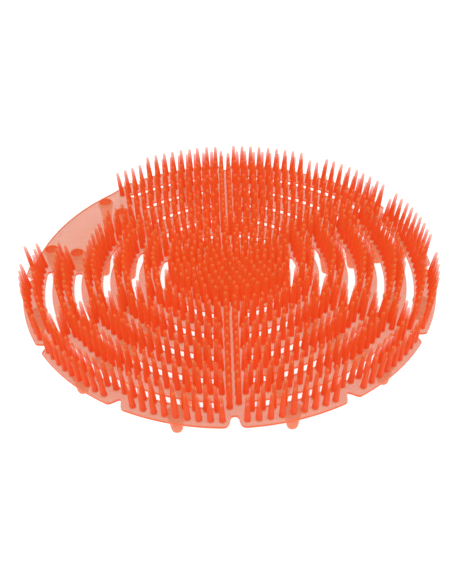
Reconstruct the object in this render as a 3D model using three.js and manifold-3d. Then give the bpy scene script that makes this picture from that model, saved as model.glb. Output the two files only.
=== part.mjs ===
// Urinal deodorizer screen: one soft moulded disc with bristles on top and feet underneath.
// Millimetres, +Z up. The feet stand on z = 0 and the disc's axis is x = y = 0. The wide
// front notch points to -Y, and every angle below is measured from it, positive toward +X.

import * as THREE from "three";
import { mergeGeometries, mergeVertices } from "three/addons/utils/BufferGeometryUtils.js";
import Module from "manifold-3d";

const wasm = await Module();
wasm.setup();

// Disc
const discRadius = 90;
const plateThickness = 1.2;

// Slots: concentric rings of arcs, cut into sectors by the spokes
const ringCount = 5;
const ringPitch = 12.55;
const slotWidth = 3.1;
const rimLandWidth = 9.5;
const spokeCount = 6;
const spokeWidth = 8.2;

// Bristles: two rows round each land, a pair of columns on each spoke, rings in the centre.
// The splay is the sideways lean of those at the left and right rim, as a slope.
const bristleHeight = 13.2;
const bristleRadius = 1.5;
const bristlePitch = 4.5;
const rowInset = 1.8;
const rowSpacing = 3.6;
const rimRowSpacing = 4.9;
const columnSpacing = 3.8;
const centreRingPitch = 3.15;
const bristleSplay = 0.18;

// Feet: tapered pegs on the outer lands, half way between the notches
const footHeight = 9;
const footTopRadius = 3.5;
const footTipRadius = 2.2;
const footLands = 4;
const footInset = 3.55;
const footWall = 0.7;

// Rim: a deep round notch in front and shallow pointed ones elsewhere, with small holes
// inside those at the side spokes
const notchCount = 12;
const frontNotch = { depth: 5.6, mouth: 4.6, floor: 2.8, lip: 2.1 };
const sideNotch = { depth: 4, mouth: 5.6, floor: 0.8, lip: 0.9 };
const eyeletRadius = 1;
const eyeletInset = 5.4;
const eyeletAngles = [-60, 60];

// Bare label area at the back left: no bristles, slots or notches, and a rim set back a little
const bareFrom = -140;
const bareTo = -97;
const bareLands = 2;
const bareMargin = 4.6;
const bareRecess = 2.3;

// Facets
const chordError = 0.16;
const bristleSides = 3;
const footSides = 6;

// What follows from those sizes
const plateTop = footHeight + plateThickness;
const rootDepth = plateThickness / 2;
const sectorAngle = 360 / spokeCount;
const notchAngle = 360 / notchCount;
const centreRadius = slotInner(ringCount - 1);
const bareRadius = landOuter(bareLands);
const rowClearOfSpoke = (columnSpacing + bristlePitch * 1.3) / 2;

// Edges of the slot rings and of the lands between them, both numbered from the rim inward
function slotOuter(ring) {
  return discRadius - rimLandWidth - ring * ringPitch;
}

function slotInner(ring) {
  return slotOuter(ring) - slotWidth;
}

function landInner(land) {
  return slotOuter(land);
}

function landOuter(land) {
  return land === 0 ? discRadius : slotInner(land - 1);
}

// A point at this radius and at this angle in degrees from the front notch
function polar(radius, angle) {
  const turn = THREE.MathUtils.degToRad(angle - 90);
  return new THREE.Vector2(radius * Math.cos(turn), radius * Math.sin(turn));
}

// The angle between a radial line and a point at this distance beside it
function sideAngle(distance, radius) {
  return THREE.MathUtils.radToDeg(Math.asin(Math.min(1, distance / radius)));
}

// Points along an arc round the disc's axis, close enough for the chord error
function arcPoints(radius, from, to) {
  const widest = THREE.MathUtils.radToDeg(2 * Math.acos(1 - chordError / radius));
  const steps = Math.max(1, Math.ceil(Math.abs(to - from) / widest));
  return Array.from({ length: steps + 1 }, (_, i) => polar(radius, from + (to - from) * (i / steps)));
}

function inBareAngles(angle) {
  const turned = ((angle + 540) % 360) - 180;
  return turned > bareFrom && turned < bareTo;
}

function inBareArea({ radius, angle }) {
  return radius > bareRadius && inBareAngles(angle);
}

// Slots

// The two points that round a slot's end, between its outer and its inner corner
function slotEnd(radius, angle, side) {
  const centre = polar(radius, angle);
  const along = polar(1, angle + 90).multiplyScalar(side * slotWidth * 0.43);
  const across = polar(1, angle).multiplyScalar(slotWidth * 0.25);
  const outer = centre.clone().add(along).add(across);
  const inner = centre.clone().add(along).sub(across);
  return side > 0 ? [outer, inner] : [inner, outer];
}

function slotHole(ring, from, to) {
  const middle = slotInner(ring) + slotWidth / 2;
  const endAngle = sideAngle(slotWidth / 2, middle);
  const start = from + endAngle;
  const end = to - endAngle;
  return new THREE.Path([
    ...arcPoints(slotOuter(ring), start, end),
    ...slotEnd(middle, end, 1),
    ...arcPoints(slotInner(ring), end, start),
    ...slotEnd(middle, start, -1),
  ]);
}

// The stretch of a slot between two spokes, cut short where the bare area begins
function slotSpan(ring, sector) {
  const edge = sideAngle(spokeWidth / 2, slotInner(ring));
  const margin = sideAngle(bareMargin, slotInner(ring));
  let from = sector * sectorAngle + edge;
  let to = (sector + 1) * sectorAngle - edge;
  if (ring < bareLands && from < bareTo && to > bareTo) {
    from = bareTo + margin;
  }
  if (ring < bareLands && from < bareFrom && to > bareFrom) {
    to = bareFrom - margin;
  }
  return [from, to];
}

function slotHoles() {
  const holes = [];
  for (let ring = 0; ring < ringCount; ring += 1) {
    for (let sector = -spokeCount / 2; sector < spokeCount / 2; sector += 1) {
      holes.push(slotHole(ring, ...slotSpan(ring, sector)));
    }
  }
  return holes;
}

// Rim

function notches() {
  return Array.from({ length: notchCount }, (_, i) => i * notchAngle)
    .filter((angle) => !inBareAngles(angle))
    .map((angle) => ({ angle, ...(angle === 0 ? frontNotch : sideNotch) }));
}

function lipAngle({ mouth, lip }) {
  return sideAngle(mouth / 2 + lip, discRadius);
}

// A notch's corners, from the start of its left lip to the end of its right lip
function notchPoints(notch) {
  const { angle, depth, mouth, floor, lip } = notch;
  const end = lipAngle(notch);
  const bend = sideAngle(mouth / 2 + lip * 0.4, discRadius);
  const side = sideAngle(mouth / 2, discRadius);
  const half = sideAngle(floor / 2, discRadius - depth);
  const left = [
    polar(discRadius, angle - end),
    polar(discRadius - lip * 0.2, angle - bend),
    polar(discRadius - lip * 0.7, angle - side),
    polar(discRadius - depth, angle - half),
  ];
  const right = [
    polar(discRadius - depth, angle + half),
    polar(discRadius - lip * 0.7, angle + side),
    polar(discRadius - lip * 0.2, angle + bend),
    polar(discRadius, angle + end),
  ];
  return [...left, ...right];
}

// The rim between two notches, set back where it runs round the bare area
function rimPoints(from, to) {
  const start = bareFrom + 360;
  const end = bareTo + 360;
  if (from > start || to < end) {
    return arcPoints(discRadius, from, to);
  }
  const step = sideAngle(bareRecess / 2, discRadius);
  return [
    ...arcPoints(discRadius, from, start - step),
    ...arcPoints(discRadius - bareRecess, start + step, end - step),
    ...arcPoints(discRadius, end + step, to),
  ];
}

function discOutline() {
  const list = notches();
  const points = list.flatMap((notch, i) => {
    const next = list[(i + 1) % list.length];
    const nextAngle = next.angle > notch.angle ? next.angle : next.angle + 360;
    const rim = rimPoints(notch.angle + lipAngle(notch), nextAngle - lipAngle(next));
    return [...notchPoints(notch), ...rim.slice(1, -1)];
  });
  return new THREE.Shape(points);
}

function eyelet(angle) {
  const centre = polar(discRadius - eyeletInset, angle);
  const circle = new THREE.Path().absarc(centre.x, centre.y, eyeletRadius, 0, Math.PI * 2);
  return new THREE.Path(circle.getPoints(3).slice(0, -1));
}

function plate() {
  const shape = discOutline();
  shape.holes = [...slotHoles(), ...eyeletAngles.map(eyelet)];
  const geometry = new THREE.ExtrudeGeometry(shape, { depth: plateThickness, bevelEnabled: false });
  return geometry.translate(0, 0, footHeight);
}

// Bristles

// The radii of a land's two rows, from its inner edge outward
function rowRadii(land) {
  const inner = landInner(land) + rowInset;
  return [inner, inner + (land === 0 ? rimRowSpacing : rowSpacing)];
}

// Whether the plate has room for a bristle here, clear of the bare area and of the notches
function hasRoom({ radius, angle }) {
  return !inBareArea({ radius, angle }) && notches().every((notch) => {
    const apart = Math.abs(((angle - notch.angle + 540) % 360) - 180);
    const reach = sideAngle(notch.mouth / 2 + bristleRadius * 0.6, radius);
    return apart > reach || radius < discRadius - notch.depth - rowInset;
  });
}

// One row of bristles round the disc, evenly spread between the spokes
function rowPlaces(radius, shifted) {
  const edge = sideAngle(rowClearOfSpoke, radius);
  const span = sectorAngle - 2 * edge;
  const count = Math.round((THREE.MathUtils.degToRad(span) * radius) / bristlePitch);
  const shift = shifted ? 0.5 : 0;
  const places = [];
  for (let sector = 0; sector < spokeCount; sector += 1) {
    for (let step = shift; step <= count; step += 1) {
      places.push({ radius, angle: sector * sectorAngle + edge + (step * span) / count });
    }
  }
  return places;
}

// Two staggered columns of bristles along each spoke
function spokePlaces() {
  const places = [];
  for (let spoke = 0; spoke < spokeCount; spoke += 1) {
    for (const side of [-1, 1]) {
      const start = centreRadius + rowInset + (side > 0 ? bristlePitch / 2 : 0);
      for (let radius = start; radius < discRadius - rowInset; radius += bristlePitch) {
        const offset = sideAngle(columnSpacing / 2, radius);
        places.push({ radius, angle: spoke * sectorAngle + side * offset });
      }
    }
  }
  return places;
}

// Rings of evenly spread bristles fill the centre, each ring starting toward the front notch
function centrePlaces() {
  const places = [];
  for (let radius = centreRingPitch; radius < centreRadius - rowInset; radius += centreRingPitch) {
    const count = Math.round((2 * Math.PI * radius) / bristlePitch);
    for (let i = 0; i < count; i += 1) {
      places.push({ radius, angle: (i * 360) / count });
    }
  }
  return places;
}

function bristlePlaces() {
  const places = [...spokePlaces(), ...centrePlaces()];
  for (let land = 0; land < ringCount; land += 1) {
    rowRadii(land).forEach((radius, i) => places.push(...rowPlaces(radius, i % 2 === 0)));
  }
  return places.filter(hasRoom);
}

// Turns an upright peg's geometry from +Y to +Z and stands its middle at this place and height
function standAt(geometry, { radius, angle }, middleHeight) {
  const place = polar(radius, angle);
  return geometry
    .rotateX(Math.PI / 2)
    .rotateZ(THREE.MathUtils.degToRad(angle))
    .translate(place.x, place.y, middleHeight);
}

// A pointed bristle, rooted in the plate, that leans outward the more the further to a side it is
function bristle(place) {
  const length = bristleHeight + rootDepth;
  const rootRadius = (bristleRadius * length) / bristleHeight;
  const cone = new THREE.ConeGeometry(rootRadius, length, bristleSides);
  const slope = (bristleSplay * polar(place.radius, place.angle).x) / discRadius;
  const lean = new THREE.Matrix4().makeShear(0, 0, 0, 0, slope, 0);
  return standAt(cone, place, plateTop + bristleHeight - length / 2)
    .applyMatrix4(lean)
    .translate(-slope * plateTop, 0, 0);
}

// Feet

function footPlaces() {
  const places = [];
  for (let land = 0; land < footLands; land += 1) {
    for (let i = 0; i < notchCount; i += 1) {
      places.push({ radius: landInner(land) + footInset, angle: (i + 0.5) * notchAngle });
    }
  }
  return places;
}

function foot(place) {
  const length = footHeight + rootDepth;
  const rootRadius = footTopRadius + ((footTopRadius - footTipRadius) * rootDepth) / footHeight;
  const peg = new THREE.CylinderGeometry(rootRadius, footTipRadius, length, footSides);
  return standAt(peg, place, length / 2);
}

// In the bare area the feet are hollow and open at the top
function footBore(place) {
  const depth = plateTop - footWall;
  const topRadius = footTopRadius - footWall;
  const bottomRadius = footTipRadius - footWall;
  const bore = new THREE.CylinderGeometry(topRadius, bottomRadius, depth, footSides);
  return standAt(bore, place, footWall + depth / 2);
}

// Joining

function toSolid(geometry) {
  const bare = geometry.index ? geometry.toNonIndexed() : geometry.clone();
  bare.deleteAttribute("normal");
  bare.deleteAttribute("uv");
  const merged = mergeVertices(bare);
  const mesh = new wasm.Mesh({
    numProp: 3,
    vertProperties: Float32Array.from(merged.attributes.position.array),
    triVerts: Uint32Array.from(merged.index.array),
  });
  return new wasm.Manifold(mesh);
}

function toGeometry(solid) {
  const { vertProperties, triVerts } = solid.getMesh();
  const geometry = new THREE.BufferGeometry();
  geometry.setAttribute("position", new THREE.BufferAttribute(vertProperties, 3));
  geometry.setIndex(new THREE.BufferAttribute(triVerts, 1));
  return geometry;
}

function screenGeometry() {
  const feet = footPlaces();
  const solid = toSolid(plate())
    .add(toSolid(mergeGeometries(bristlePlaces().map(bristle))))
    .add(toSolid(mergeGeometries(feet.map(foot))))
    .subtract(toSolid(mergeGeometries(feet.filter(inBareArea).map(footBore))));
  return toGeometry(solid);
}

const softPlastic = new THREE.MeshStandardMaterial({
  color: 0xf0552b,
  roughness: 0.45,
  metalness: 0,
});

const screen = new THREE.Mesh(screenGeometry(), softPlastic);
screen.name = "screen";

const model = new THREE.Group();
model.add(screen);

export default model;
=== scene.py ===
"""Looks of the urinal deodorizer screen: a round moulded disc with bristles and feet.

Sizes are millimetres, scaled to metres when a mesh is made. Angles are degrees from the deep
notch in the front rim, which points to -Y, positive toward +X. A place is (radius, angle).
"""

import math
import random

import bmesh
import bpy
from mathutils import Matrix, Vector
from mathutils.geometry import tessellate_polygon


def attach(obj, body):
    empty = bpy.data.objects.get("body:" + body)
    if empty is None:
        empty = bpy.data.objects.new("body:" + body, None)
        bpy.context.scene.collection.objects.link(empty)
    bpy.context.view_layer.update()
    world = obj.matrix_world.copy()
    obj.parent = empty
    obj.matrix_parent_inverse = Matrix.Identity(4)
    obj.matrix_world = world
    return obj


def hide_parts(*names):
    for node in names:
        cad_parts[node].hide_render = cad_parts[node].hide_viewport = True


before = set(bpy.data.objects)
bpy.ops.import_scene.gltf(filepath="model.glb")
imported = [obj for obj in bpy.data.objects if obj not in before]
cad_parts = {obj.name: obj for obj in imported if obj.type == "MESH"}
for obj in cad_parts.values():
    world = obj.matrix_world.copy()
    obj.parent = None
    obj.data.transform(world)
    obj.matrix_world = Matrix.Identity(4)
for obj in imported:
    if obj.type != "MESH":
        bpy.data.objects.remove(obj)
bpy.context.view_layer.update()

MM = 0.001

# Disc, a hair inside the solid one
DISC_RADIUS = 89.9
PLATE_THICKNESS = 1.2
EDGE_RADIUS = 0.35
EDGE_STEPS = 2
ARC_STEP = 1.25

# Slots
RING_COUNT = 5
RING_PITCH = 12.55
SLOT_WIDTH = 3.1
RIM_LAND_WIDTH = 9.4
SPOKE_COUNT = 6
SPOKE_WIDTH = 8.2

# Bristles
BRISTLE_HEIGHT = 13.2
BRISTLE_RADIUS = 1.3
BRISTLE_TIP_RADIUS = 0.7
BRISTLE_FILLET = 0.3
BRISTLE_PITCH = 4.3
ROW_INSET = 1.8
ROW_SPACING = 3.6
RIM_ROW_SPACING = 4.9
COLUMN_SPACING = 3.5
ROW_END_PITCHES = 1.3
NOTCH_CLEARANCE = 0.9
CENTRE_RING_PITCH = 3.15
CENTRE_RING_TURN = 1 / 3
BRISTLE_SPLAY = 0.165
BRISTLE_SIDES = 8
JOIN_DEPTH = 0.02
LEAN_DEGREES = 0.8
LEAN_SEED = 7

# Feet
FOOT_HEIGHT = 9
FOOT_TOP_RADIUS = 3.5
FOOT_TIP_RADIUS = 2.2
FOOT_TIP_ROUND = 0.6
FOOT_FILLET = 0.4
FOOT_BORE_ROUND = 0.3
FOOT_LANDS = 4
FOOT_INSET = 3.55
FOOT_WALL = 0.6
FOOT_SIDES = 20

# Rim
NOTCH_COUNT = 12
FRONT_NOTCH = {"depth": 5.6, "mouth": 4.6, "floor": 2.8, "lip": 2.1}
SIDE_NOTCH = {"depth": 4, "mouth": 5.6, "floor": 0.8, "lip": 0.9}
EYELET_RADIUS = 1
EYELET_INSET = 5.4
EYELET_ANGLES = (-60, 60)
EYELET_SIDES = 20
SLOT_CAP_SIDES = 10
CORNER_STEPS = 5

# Bare label area: its ends, the land kept beside it, its set-back rim, and the gap in the outer
# row and the ease of the rim behind it
BARE_FROM = -140
BARE_TO = -97
BARE_LANDS = 2
BARE_MARGIN = 4.6
BARE_RECESS = 2.3
BARE_ROW_INSET = 4
BARE_ROW_GAP = 6
BARE_EASE = 7

# What follows from those sizes
PLATE_TOP = FOOT_HEIGHT + PLATE_THICKNESS
SECTOR_ANGLE = 360 / SPOKE_COUNT
NOTCH_ANGLE = 360 / NOTCH_COUNT
BRISTLE_TOP = PLATE_TOP + BRISTLE_HEIGHT
ROW_CLEAR_OF_SPOKE = (COLUMN_SPACING + BRISTLE_PITCH * ROW_END_PITCHES) / 2


def slot_outer(ring):
    return DISC_RADIUS - RIM_LAND_WIDTH - ring * RING_PITCH


def slot_inner(ring):
    return slot_outer(ring) - SLOT_WIDTH


def land_outer(land):
    return DISC_RADIUS if land == 0 else slot_inner(land - 1)


CENTRE_RADIUS = slot_inner(RING_COUNT - 1)
BARE_RADIUS = land_outer(BARE_LANDS)


def polar(radius, angle):
    turn = math.radians(angle - 90)
    return Vector((radius * math.cos(turn), radius * math.sin(turn)))


def side_angle(distance, radius):
    return math.degrees(math.asin(distance / max(distance, radius)))


def wrapped(angle):
    return (angle + 180) % 360 - 180


def arc(radius, start, end):
    count = max(2, math.ceil(abs(end - start) / ARC_STEP))
    return [polar(radius, start + (end - start) * i / count) for i in range(count + 1)]


def circle(centre, radius, start, end, count):
    """Points on a small arc about any centre, in degrees from +X."""
    turns = [math.radians(start + (end - start) * i / count) for i in range(count + 1)]
    return [centre + radius * Vector((math.cos(t), math.sin(t))) for t in turns]


def in_bare_angles(angle):
    return BARE_FROM < wrapped(angle) < BARE_TO


def in_bare_area(radius, angle):
    return radius > BARE_RADIUS and in_bare_angles(angle)


def beside_bare_area(radius, angle):
    """The outermost row ends a little before the bare area does."""
    return radius > DISC_RADIUS - BARE_ROW_INSET and in_bare_angles(angle + BARE_ROW_GAP)


# Outlines in plan


def slot_span(ring, sector):
    edge = side_angle(SPOKE_WIDTH / 2, slot_inner(ring))
    margin = side_angle(BARE_MARGIN, slot_inner(ring))
    start = sector * SECTOR_ANGLE + edge
    end = (sector + 1) * SECTOR_ANGLE - edge
    if ring < BARE_LANDS and start < BARE_TO < end:
        start = BARE_TO + margin
    if ring < BARE_LANDS and start < BARE_FROM < end:
        end = BARE_FROM - margin
    return start, end


def slot_outline(ring, sector):
    """A slot with fully round ends."""
    start, end = slot_span(ring, sector)
    half = SLOT_WIDTH / 2
    middle = slot_inner(ring) + half
    cap = side_angle(half, middle)
    start += cap
    end -= cap
    end_cap = circle(polar(middle, end), half, end - 90, end + 90, SLOT_CAP_SIDES)
    start_cap = circle(polar(middle, start), half, start + 90, start + 270, SLOT_CAP_SIDES)
    outer = arc(slot_outer(ring), start, end)
    inner = arc(slot_inner(ring), end, start)
    return outer + end_cap[1:-1] + inner + start_cap[1:-1]


def notches():
    angles = [i * NOTCH_ANGLE for i in range(NOTCH_COUNT)]
    return [(a, FRONT_NOTCH if a == 0 else SIDE_NOTCH) for a in angles if not in_bare_angles(a)]


def lip_angle(notch):
    return side_angle(notch["mouth"] / 2 + notch["lip"], DISC_RADIUS)


def rounded(points, radius):
    """Rounds the inner corners of an open line of points, the outermost two more than the rest."""
    line = []
    last = len(points) - 2
    for index in range(1, last + 1):
        corner = points[index]
        before = points[index - 1] - corner
        after = points[index + 1] - corner
        at_start = index == 1
        at_end = index == last
        limit = 2 * radius if at_start or at_end else radius
        a = corner + before.normalized() * min(limit, before.length / (1 if at_start else 2))
        b = corner + after.normalized() * min(limit, after.length / (1 if at_end else 2))
        for i in range(CORNER_STEPS + 1):
            t = i / CORNER_STEPS
            line.append(a * (1 - t) ** 2 + corner * 2 * t * (1 - t) + b * t ** 2)
    return line


def notch_line(angle, notch):
    """A notch from its left lip to its right lip, with rounded lips and floor."""
    lip = lip_angle(notch)
    side = side_angle(notch["mouth"] / 2, DISC_RADIUS)
    floor = side_angle(notch["floor"] / 2, DISC_RADIUS - notch["depth"])
    corners = [
        polar(DISC_RADIUS, angle - lip),
        polar(DISC_RADIUS, angle - side),
        polar(DISC_RADIUS - notch["depth"], angle - floor),
        polar(DISC_RADIUS - notch["depth"], angle + floor),
        polar(DISC_RADIUS, angle + side),
        polar(DISC_RADIUS, angle + lip),
    ]
    return rounded(corners, notch["lip"])


def rim_line(start, end):
    """The rim between two notches, set back round the bare area and eased back out behind it."""
    bare_start = BARE_FROM + 360
    bare_end = BARE_TO + 360
    if start > bare_start or end < bare_end:
        return arc(DISC_RADIUS, start, end)
    step = side_angle(BARE_RECESS / 2, DISC_RADIUS)
    before = arc(DISC_RADIUS, start, bare_start - BARE_EASE)
    recess = arc(DISC_RADIUS - BARE_RECESS, bare_start + step, bare_end - step)
    after = arc(DISC_RADIUS, bare_end + step, end)
    return before + recess + after


def disc_outline():
    found = notches()
    points = []
    for (angle, notch), (next_angle, next_notch) in zip(found, found[1:] + found[:1]):
        if next_angle <= angle:
            next_angle += 360
        points += notch_line(angle, notch)
        points += rim_line(angle + lip_angle(notch), next_angle - lip_angle(next_notch))[1:-1]
    return points


def eyelet_outline(angle):
    centre = polar(DISC_RADIUS - EYELET_INSET, angle)
    return circle(centre, EYELET_RADIUS, 0, 360, EYELET_SIDES)[:-1]


# Places of bristles and feet


def row_radii(land):
    inner = slot_outer(land) + ROW_INSET
    return [inner, inner + (RIM_ROW_SPACING if land == 0 else ROW_SPACING)]


def has_room(radius, angle):
    if in_bare_area(radius, angle) or beside_bare_area(radius, angle):
        return False
    for notch_angle, notch in notches():
        reach = side_angle(notch["mouth"] / 2 + NOTCH_CLEARANCE, radius)
        near = abs(wrapped(angle - notch_angle)) <= reach
        if near and radius >= DISC_RADIUS - notch["depth"] - ROW_INSET:
            return False
    return True


def land_places(land):
    """Two staggered rows round a land, with the same step in both."""
    inner, outer = row_radii(land)
    edge = side_angle(ROW_CLEAR_OF_SPOKE, outer)
    span = SECTOR_ANGLE - 2 * edge
    count = round(math.radians(span) * outer / BRISTLE_PITCH)
    places = []
    for sector in range(SPOKE_COUNT):
        start = sector * SECTOR_ANGLE + edge
        places += [(outer, start + i * span / count) for i in range(count + 1)]
        places += [(inner, start + (i + 0.5) * span / count) for i in range(count)]
    return places


def spoke_places():
    places = []
    for spoke in range(SPOKE_COUNT):
        for side in (-1, 1):
            radius = CENTRE_RADIUS + ROW_INSET + (BRISTLE_PITCH / 2 if side > 0 else 0)
            while radius < DISC_RADIUS - ROW_INSET:
                offset = side_angle(COLUMN_SPACING / 2, radius)
                places.append((radius, spoke * SECTOR_ANGLE + side * offset))
                radius += BRISTLE_PITCH
    return places


def centre_places():
    """Rings of bristles round one at the centre, each ring turned by part of its own step."""
    places = []
    ring_count = math.floor((CENTRE_RADIUS - ROW_INSET) / CENTRE_RING_PITCH)
    for ring in range(ring_count + 1):
        radius = ring * CENTRE_RING_PITCH
        count = max(1, round(2 * math.pi * radius / BRISTLE_PITCH))
        turn = ring * CENTRE_RING_TURN
        places += [(radius, (i + turn) * 360 / count) for i in range(count)]
    return places


def bristle_places():
    places = spoke_places() + centre_places()
    for land in range(RING_COUNT):
        places += land_places(land)
    return [place for place in places if has_room(*place)]


def foot_places():
    return [
        (slot_outer(land) + FOOT_INSET, (i + 0.5) * NOTCH_ANGLE)
        for land in range(FOOT_LANDS)
        for i in range(NOTCH_COUNT)
    ]


# Meshes

# Edges that turn more than this stay sharp
SHARP_ANGLE = 40


def inset_loop(points, distance):
    """Moves a closed line to its left by a distance, square to its local direction."""
    moved = []
    for i, point in enumerate(points):
        along = points[(i + 1) % len(points)] - points[i - 1]
        left = Vector((-along.y, along.x)).normalized()
        moved.append(point + left * distance)
    return moved


def plate_levels():
    """Inset and height of each ring of the plate's edge, from the underside up."""
    levels = []
    for i in range(EDGE_STEPS + 1):
        turn = math.radians(90 * i / EDGE_STEPS)
        inset = EDGE_RADIUS * (1 - math.sin(turn))
        rise = EDGE_RADIUS * (1 - math.cos(turn))
        levels.append((inset, rise))
    return [(inset, FOOT_HEIGHT + rise) for inset, rise in levels] + [
        (inset, PLATE_TOP - rise) for inset, rise in reversed(levels)
    ]


def plate_mesh(loops):
    """A plate with rounded edges: the first loop is its outline, and the rest are holes."""
    mesh = bmesh.new()
    levels = plate_levels()
    rings_of = []
    for loop in loops:
        rings = []
        for inset, height in levels:
            line = inset_loop(loop, inset)
            rings.append([mesh.verts.new((p.x * MM, p.y * MM, height * MM)) for p in line])
        for low, high in zip(rings, rings[1:]):
            for i in range(len(loop)):
                j = (i + 1) % len(loop)
                mesh.faces.new((low[i], low[j], high[j], high[i]))
        rings_of.append(rings)
    for level, flip in ((0, True), (-1, False)):
        corners = [v for rings in rings_of for v in rings[level]]
        lines = [[v.co for v in rings[level]] for rings in rings_of]
        for triangle in tessellate_polygon(lines):
            face = mesh.faces.new([corners[i] for i in triangle])
            face.normal_update()
            if (face.normal.z < 0) != flip:
                face.normal_flip()
    return mesh


def peg(mesh, profile, place, sides, slope=(0.0, 0.0)):
    """Adds a round closed peg with a profile of (radius, height) from one end to the other."""
    centre = polar(*place)
    rings = []
    for radius, height in profile:
        x = centre.x + slope[0] * (height - PLATE_TOP)
        y = centre.y + slope[1] * (height - PLATE_TOP)
        if radius == 0:
            rings.append([mesh.verts.new((x * MM, y * MM, height * MM))])
            continue
        ring = []
        for i in range(sides):
            turn = 2 * math.pi * i / sides
            point = (x + radius * math.cos(turn), y + radius * math.sin(turn), height)
            ring.append(mesh.verts.new([value * MM for value in point]))
        rings.append(ring)
    for low, high in zip(rings, rings[1:]):
        for i in range(sides):
            j = (i + 1) % sides
            if len(low) == 1:
                mesh.faces.new((low[0], high[j], high[i]))
            elif len(high) == 1:
                mesh.faces.new((low[i], low[j], high[0]))
            else:
                mesh.faces.new((low[i], low[j], high[j], high[i]))


def bristle_profile():
    """From a root inside the plate, over a small fillet, up a slight taper to a round tip."""
    root = PLATE_TOP - PLATE_THICKNESS / 2
    fillet = BRISTLE_RADIUS + BRISTLE_FILLET
    tip = BRISTLE_TIP_RADIUS
    return [
        (0, root),
        (fillet, root),
        (fillet, PLATE_TOP - JOIN_DEPTH),
        (BRISTLE_RADIUS + BRISTLE_FILLET * 0.3, PLATE_TOP + BRISTLE_FILLET * 0.4),
        (BRISTLE_RADIUS, PLATE_TOP + BRISTLE_FILLET * 1.2),
        (tip * 1.02, BRISTLE_TOP - tip),
        (tip * 0.72, BRISTLE_TOP - tip * 0.3),
        (0, BRISTLE_TOP),
    ]


def foot_profile():
    """From a softly rounded flat tip up into the plate."""
    tip = FOOT_TIP_RADIUS
    fillet = FOOT_TOP_RADIUS + FOOT_FILLET
    root = FOOT_HEIGHT + PLATE_THICKNESS / 2
    return [
        (0, 0),
        (tip - FOOT_TIP_ROUND, 0),
        (tip - FOOT_TIP_ROUND * 0.3, FOOT_TIP_ROUND * 0.3),
        (tip, FOOT_TIP_ROUND),
        (FOOT_TOP_RADIUS, FOOT_HEIGHT - FOOT_FILLET),
        (fillet, FOOT_HEIGHT),
        (fillet, root),
        (0, root),
    ]


def bore_profile():
    """The hollow of a foot in the bare area, open above the plate."""
    above = PLATE_TOP + 1
    bottom = FOOT_TIP_RADIUS - FOOT_WALL
    mouth = FOOT_TOP_RADIUS - FOOT_WALL
    curve = FOOT_BORE_ROUND
    return [
        (0, FOOT_WALL),
        (bottom - curve, FOOT_WALL),
        (bottom, FOOT_WALL + curve),
        (mouth, PLATE_TOP - curve),
        (mouth + curve, PLATE_TOP),
        (mouth + curve, above),
        (0, above),
    ]


def to_object(mesh, name):
    data = bpy.data.meshes.new(name)
    bmesh.ops.recalc_face_normals(mesh, faces=mesh.faces)
    mesh.to_mesh(data)
    mesh.free()
    piece = bpy.data.objects.new(name, data)
    bpy.context.scene.collection.objects.link(piece)
    return piece


def pegs_object(name, profile, places, sides, slopes=None):
    mesh = bmesh.new()
    for i, place in enumerate(places):
        peg(mesh, profile, place, sides, slopes[i] if slopes else (0.0, 0.0))
    return to_object(mesh, name)


def bristle_slopes(places):
    """Outward splay toward the left and right rims, with a little chance in each bristle."""
    chance = random.Random(LEAN_SEED)
    spread = math.radians(LEAN_DEGREES)
    slopes = []
    for place in places:
        outward = BRISTLE_SPLAY * polar(*place).x / DISC_RADIUS
        slopes.append((outward + chance.gauss(0, spread), chance.gauss(0, spread)))
    return slopes


def combine(piece, tool, operation):
    """Joins or cuts the piece with a tool object, which is then removed."""
    step = piece.modifiers.new(operation, "BOOLEAN")
    step.object = tool
    step.operation = operation
    step.solver = "MANIFOLD"
    graph = bpy.context.evaluated_depsgraph_get()
    joined = bpy.data.meshes.new_from_object(piece.evaluated_get(graph))
    piece.modifiers.clear()
    piece.data = joined
    bpy.data.objects.remove(tool)


def screen_object():
    loops = [disc_outline()]
    for ring in range(RING_COUNT):
        for sector in range(-SPOKE_COUNT // 2, SPOKE_COUNT // 2):
            loops.append(list(reversed(slot_outline(ring, sector))))
    loops += [list(reversed(eyelet_outline(angle))) for angle in EYELET_ANGLES]
    screen = to_object(plate_mesh(loops), "screen_look")

    bristles = bristle_places()
    feet = foot_places()
    hollow = [place for place in feet if in_bare_area(*place)]
    slopes = bristle_slopes(bristles)
    field = pegs_object("bristles", bristle_profile(), bristles, BRISTLE_SIDES, slopes)
    combine(screen, field, "UNION")
    combine(screen, pegs_object("feet", foot_profile(), feet, FOOT_SIDES), "UNION")
    combine(screen, pegs_object("bores", bore_profile(), hollow, FOOT_SIDES), "DIFFERENCE")
    screen.data.shade_smooth()
    screen.data.set_sharp_from_angle(angle=math.radians(SHARP_ANGLE))
    return screen


# Materials

# Linear colours of the plastic, deepest up the bristles. Painted light: the disc top is paler,
# painted as if the white floor glowed through the thin sheet, and the bristles grow paler toward
# their lit tips
DEEP_COLOR = (0.455, 0.038, 0.0065)
# Painted light: toward their tips the bristles grow paler, as if lit on top and glowing where thin
PAINTED_LIGHT_NEAR_TIPS = (0.465, 0.064, 0.012)
PAINTED_LIGHT_ON_TIPS = (0.48, 0.16, 0.048)
# Painted backlight: the disc top's pale colour stands in for the white floor glowing through the
# thin sheet
PAINTED_BACKLIGHT_DISC = (0.43, 0.165, 0.090)
EDGE_COLOR = (0.44, 0.070, 0.020)
FOOT_COLOR = (0.43, 0.12, 0.050)
# Painted glow: the plastic emits its own colour, though it is no lamp, which lifts and flattens
# its shading
PAINTED_GLOW = 0.92

# How much of what lies behind it one face hides: on the thin disc, a bristle's tip and a foot
SHEET_COVER = 0.6
TIP_COVER = 0.36
FOOT_COVER = 0.95


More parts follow.
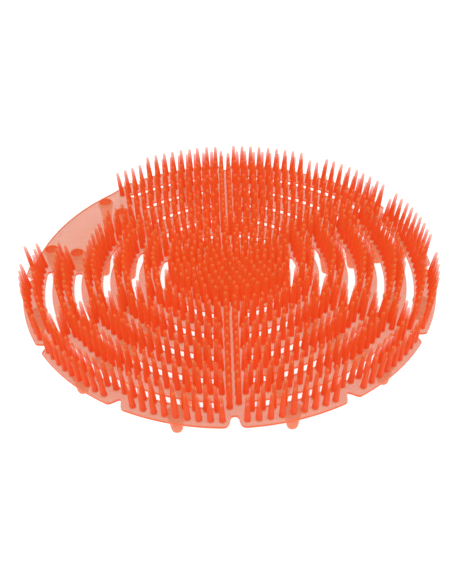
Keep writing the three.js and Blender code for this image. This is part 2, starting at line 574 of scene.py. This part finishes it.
class Nodes:
    """Adds linked nodes to a new material."""

    def __init__(self, name):
        self.material = bpy.data.materials.new(name)
        self.material.use_nodes = True
        self.tree = self.material.node_tree
        self.shader = self.tree.nodes["Principled BSDF"]

    def add(self, kind, **inputs):
        node = self.tree.nodes.new(kind)
        for name, value in inputs.items():
            self.set(node, name.replace("_", " "), value)
        return node

    def math(self, operation, first, second=0.0):
        node = self.tree.nodes.new("ShaderNodeMath")
        node.operation = operation
        self.set(node, 0, first)
        self.set(node, 1, second)
        return node.outputs["Value"]

    def set(self, node, socket, value):
        target = node.inputs[socket]
        if isinstance(value, bpy.types.NodeSocket):
            self.tree.links.new(value, target)
        else:
            target.default_value = value


def height_ramp(nodes, height, stops):
    """Colour by height above the floor: stops are (height in millimetres, linear colour)."""
    share = nodes.add("ShaderNodeMapRange", Value=height, From_Max=BRISTLE_TOP * MM)
    ramp = nodes.add("ShaderNodeValToRGB", Fac=share.outputs["Result"])
    band = ramp.color_ramp
    while len(band.elements) < len(stops):
        band.elements.new(0.5)
    for element, (level, color) in zip(band.elements, stops):
        element.position = level / BRISTLE_TOP
        element.color = (*color, 1)
    return ramp.outputs["Color"]


def grey(value):
    return (value, value, value)


def cover(nodes, coordinates, height):
    """How much a face hides: less on the disc's flat faces, and less and less toward the tips."""
    normal = nodes.add("ShaderNodeSeparateXYZ", Vector=coordinates.outputs["Normal"])
    upright = nodes.math("ABSOLUTE", normal.outputs["Z"])
    flat = nodes.add("ShaderNodeMapRange", Value=upright, From_Min=0.6, From_Max=0.95)
    sheet = height_ramp(nodes, height, (
        (0, grey(0)),
        (FOOT_HEIGHT - 0.1, grey(0)),
        (FOOT_HEIGHT - 0.05, grey(1 - SHEET_COVER)),
        (PLATE_TOP + 0.05, grey(1 - SHEET_COVER)),
        (PLATE_TOP + 0.4, grey(0)),
    ))
    thin = nodes.math("MULTIPLY", sheet, flat.outputs["Result"])
    tip = height_ramp(nodes, height, (
        (0, grey(FOOT_COVER)),
        (FOOT_HEIGHT - 0.3, grey(FOOT_COVER)),
        (FOOT_HEIGHT, grey(1)),
        (PLATE_TOP + BRISTLE_HEIGHT * 0.25, grey(1)),
        (BRISTLE_TOP, grey(TIP_COVER)),
    ))
    return nodes.math("MULTIPLY", nodes.math("SUBTRACT", 1.0, thin), tip)


def soft_plastic():
    """Soft translucent plastic, deep orange up the bristles, with painted light: a paler disc top
    for the floor glowing through it, paler lit tips, and a painted glow.
    """
    nodes = Nodes("soft_plastic")
    coordinates = nodes.add("ShaderNodeTexCoord")
    position = coordinates.outputs["Object"]
    height = nodes.add("ShaderNodeSeparateXYZ", Vector=position).outputs["Z"]
    color = height_ramp(nodes, height, (
        (0, FOOT_COLOR),
        (FOOT_HEIGHT, EDGE_COLOR),
        (PLATE_TOP - 0.3, EDGE_COLOR),
        # Painted backlight on the disc top, paler as if the floor glowed through it
        (PLATE_TOP - 0.05, PAINTED_BACKLIGHT_DISC),
        (PLATE_TOP + 0.1, PAINTED_BACKLIGHT_DISC),
        (PLATE_TOP + 0.7, DEEP_COLOR),
        # Painted light up the last of each bristle, paler toward the lit tip
        (PLATE_TOP + BRISTLE_HEIGHT * 0.88, PAINTED_LIGHT_NEAR_TIPS),
        (BRISTLE_TOP, PAINTED_LIGHT_ON_TIPS),
    ))
    # Faint clouds of lighter and darker plastic
    cloud = nodes.add("ShaderNodeTexNoise", Vector=position, Scale=60.0, Detail=3.0)
    tint = nodes.add("ShaderNodeMapRange", Value=cloud.outputs["Fac"], To_Min=0.93, To_Max=1.05)
    varied = nodes.add("ShaderNodeHueSaturation", Color=color, Value=tint.outputs["Result"])
    # A fine grain, as on a mould's satin wall
    grain = nodes.add("ShaderNodeTexNoise", Vector=position, Scale=1800.0, Detail=4.0)
    rough = nodes.add("ShaderNodeMapRange", Value=grain.outputs["Fac"], To_Min=0.34, To_Max=0.50)
    bump = nodes.add("ShaderNodeBump", Height=grain.outputs["Fac"], Strength=0.12, Distance=0.0002)
    shader = nodes.shader
    nodes.set(shader, "Base Color", varied.outputs["Color"])
    nodes.set(shader, "Roughness", rough.outputs["Result"])
    nodes.set(shader, "Normal", bump.outputs["Normal"])
    nodes.set(shader, "IOR", 1.46)
    nodes.set(shader, "Specular IOR Level", 0.3)
    nodes.set(shader, "Alpha", cover(nodes, coordinates, height))
    # Painted glow: the plastic emits its own colour to lift and flatten its shading
    nodes.set(shader, "Emission Color", varied.outputs["Color"])
    nodes.set(shader, "Emission Strength", PAINTED_GLOW)
    nodes.set(shader, "Subsurface Weight", 0.7)
    nodes.set(shader, "Subsurface Radius", (1.0, 0.35, 0.15))
    nodes.set(shader, "Subsurface Scale", 0.0025)
    return nodes.material


FLOOR_GREY = 0.4
FLOOR_GLOW = 0.9


def floor_material():
    """Pale seamless studio floor that also glows a little, as a light table does."""
    nodes = Nodes("pale_floor")
    position = nodes.add("ShaderNodeTexCoord").outputs["Object"]
    grain = nodes.add("ShaderNodeTexNoise", Vector=position, Scale=400.0, Detail=2.0)
    shade = nodes.add("ShaderNodeMapRange", Value=grain.outputs["Fac"], To_Min=0.985, To_Max=1.0)
    pale = (*grey(FLOOR_GREY), 1)
    white = nodes.add("ShaderNodeHueSaturation", Color=pale, Value=shade.outputs["Result"])
    nodes.set(nodes.shader, "Base Color", white.outputs["Color"])
    nodes.set(nodes.shader, "Roughness", 0.9)
    nodes.set(nodes.shader, "Specular IOR Level", 0.1)
    nodes.set(nodes.shader, "Emission Color", (1, 1, 1, 1))
    nodes.set(nodes.shader, "Emission Strength", FLOOR_GLOW)
    return nodes.material


# Studio, in metres and watts

FLOOR_HALF_WIDTH = 6
SKY_STRENGTH = 0.45

# Name, place, width and power of each lamp, which all point at the middle of the floor
LAMPS = (
    ("key_light", (-0.5, -0.6, 0.9), 0.7, 4),
    ("fill_light", (0.7, -0.3, 0.7), 0.8, 3),
    ("back_light", (0.1, 0.9, 0.6), 0.8, 3),
)


def add_floor():
    mesh = bmesh.new()
    bmesh.ops.create_grid(mesh, x_segments=2, y_segments=2, size=FLOOR_HALF_WIDTH)
    floor = to_object(mesh, "floor")
    floor.data.materials.append(floor_material())


def add_lamp(name, place, size, power):
    lamp = bpy.data.lights.new(name, "AREA")
    lamp.size = size
    lamp.energy = power
    light = bpy.data.objects.new(name, lamp)
    light.location = place
    light.rotation_euler = (-Vector(place)).to_track_quat("-Z", "Y").to_euler()
    bpy.context.scene.collection.objects.link(light)


def add_studio():
    world = bpy.data.worlds.new("studio")
    bpy.context.scene.world = world
    world.use_nodes = True
    sky = world.node_tree.nodes["Background"]
    sky.inputs["Color"].default_value = (1, 1, 1, 1)
    sky.inputs["Strength"].default_value = SKY_STRENGTH
    for lamp in LAMPS:
        add_lamp(*lamp)
    bpy.context.scene.view_settings.view_transform = "Standard"


# The photograph's view: width and focal length in pixels, then the camera's place and turns
IMAGE_WIDTH = 452
SENSOR_WIDTH = 36
FOCAL_PIXELS = 885
CAMERA_PLACE = (-1.5, -306.2, 253.4)
CAMERA_DOWN = 39.68
CAMERA_ROLL = -1.46
OBJECT_TURN = 0.37


def add_camera():
    camera = bpy.data.objects.new("camera", bpy.data.cameras.new("camera"))
    camera.data.sensor_width = SENSOR_WIDTH
    camera.data.sensor_fit = "HORIZONTAL"
    camera.data.lens = SENSOR_WIDTH * FOCAL_PIXELS / IMAGE_WIDTH
    camera.data.clip_start = 0.01
    turn = Matrix.Rotation(math.radians(-OBJECT_TURN), 4, "Z")
    tilt = Matrix.Rotation(math.radians(90 - CAMERA_DOWN), 4, "X")
    roll = Matrix.Rotation(math.radians(CAMERA_ROLL), 4, "Z")
    place = Matrix.Translation(Vector(CAMERA_PLACE) * MM)
    camera.matrix_world = turn @ place @ tilt @ roll
    bpy.context.scene.collection.objects.link(camera)
    bpy.context.scene.camera = camera


add_camera()
add_studio()
add_floor()

screen = screen_object()
screen.data.materials.clear()
screen.data.materials.append(soft_plastic())
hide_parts("screen")
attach(screen, "root")
